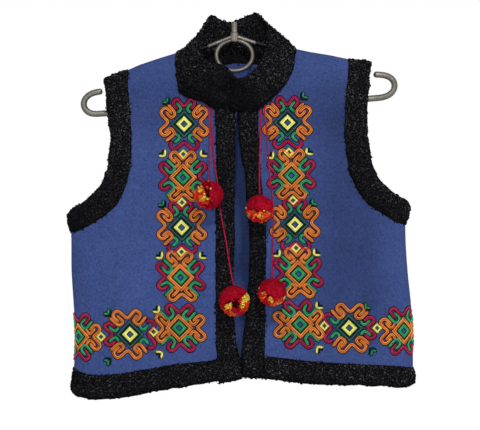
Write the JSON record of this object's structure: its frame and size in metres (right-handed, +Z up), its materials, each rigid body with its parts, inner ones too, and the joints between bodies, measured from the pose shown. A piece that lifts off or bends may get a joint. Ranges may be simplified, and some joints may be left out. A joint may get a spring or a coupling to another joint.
{
  "type": "embroidered folk vest on a hanger",
  "caption": "Sleeveless blue felt folk vest with a stand collar, black boucle trims and wool pompoms on cords, hanging open on a bent steel hanger.",
  "frame": {"origin": "top end of the hanger's stem, where the hook that carries the hanger goes on", "axes": "+Z up along the stem, -Y out of the vest's front, +X towards the wearer's left side"},
  "size_m": [0.4749, 0.1234, 0.5178],
  "materials": {
    "blue_felt": "napped wool felt",
    "black_boucle": "curled boucle pile",
    "crimson_wool": "cut wool pile",
    "crimson_cord": "twisted yarn",
    "steel": "dull plated steel"
  },
  "bodies": {
    "root": {"front_left": "blue_felt", "front_right": "blue_felt", "back": "blue_felt", "front_band_left": "black_boucle", "front_band_right": "black_boucle", "hem_band": "black_boucle", "armhole_trim_left": "black_boucle", "armhole_trim_right": "black_boucle", "collar": "black_boucle", "pompom_1": "crimson_wool", "pompom_2": "crimson_wool", "pompom_3": "crimson_wool", "pompom_4": "crimson_wool", "cord_1": "crimson_cord", "cord_2": "crimson_cord", "cord_3": "crimson_cord", "cord_4": "crimson_cord", "hanger_bar": "steel", "hanger_arm_left": "steel", "hanger_arm_right": "steel", "hanger_ring": "steel", "hanger_stem": "steel"}
  },
  "joints": []
}
